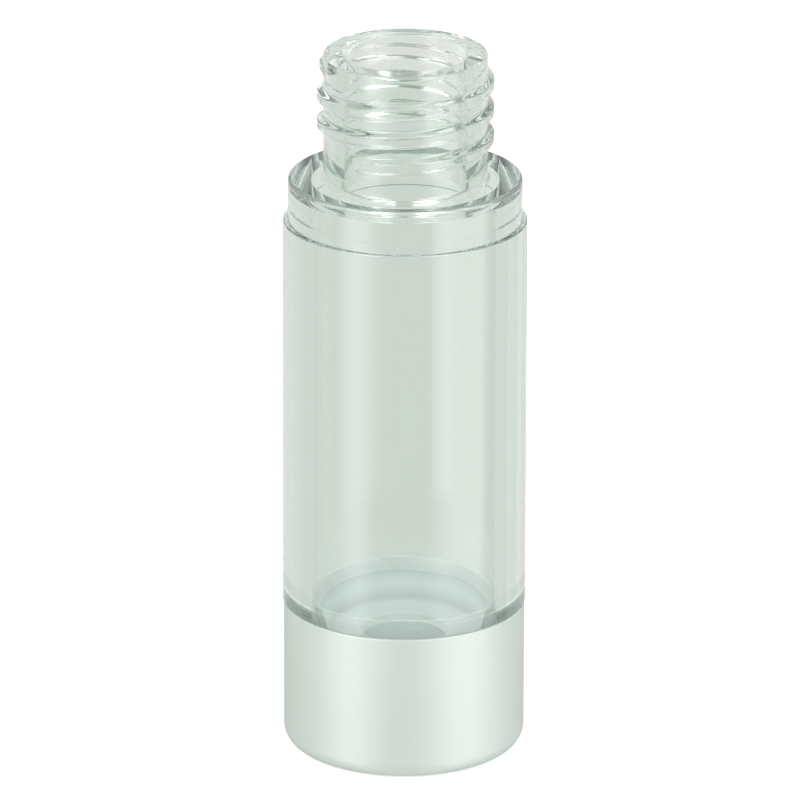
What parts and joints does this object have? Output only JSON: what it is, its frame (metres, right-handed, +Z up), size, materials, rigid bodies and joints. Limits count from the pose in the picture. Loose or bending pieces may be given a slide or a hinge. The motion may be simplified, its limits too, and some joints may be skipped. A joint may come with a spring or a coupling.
{
  "type": "airless bottle",
  "caption": "Clear airless cosmetic bottle with a screw neck, a follower piston sliding in its chamber and a matte metal base, shown without its pump.",
  "frame": {"origin": "centre of the flat foot on which the bottle stands", "axes": "+Z up along the bottle's axis, from the foot to the mouth; -Y towards the picture's viewer"},
  "size_m": [0.0276, 0.0276, 0.0822],
  "materials": {
    "clear_plastic": "clear, polished",
    "piston_plastic": "satin, slightly translucent",
    "liner_plastic": "satin",
    "sleeve_metal": "matte anodised"
  },
  "bodies": {
    "bottle": {"bottle_body": "clear_plastic", "base_liner": "liner_plastic", "base_sleeve": "sleeve_metal"},
    "piston": {"piston": "piston_plastic"}
  },
  "joints": [
    {"name": "piston_slide", "type": "slide", "parent": "bottle", "child": "piston", "axis": [0, 0, 1], "range_m": [0, 0.0471]}
  ]
}
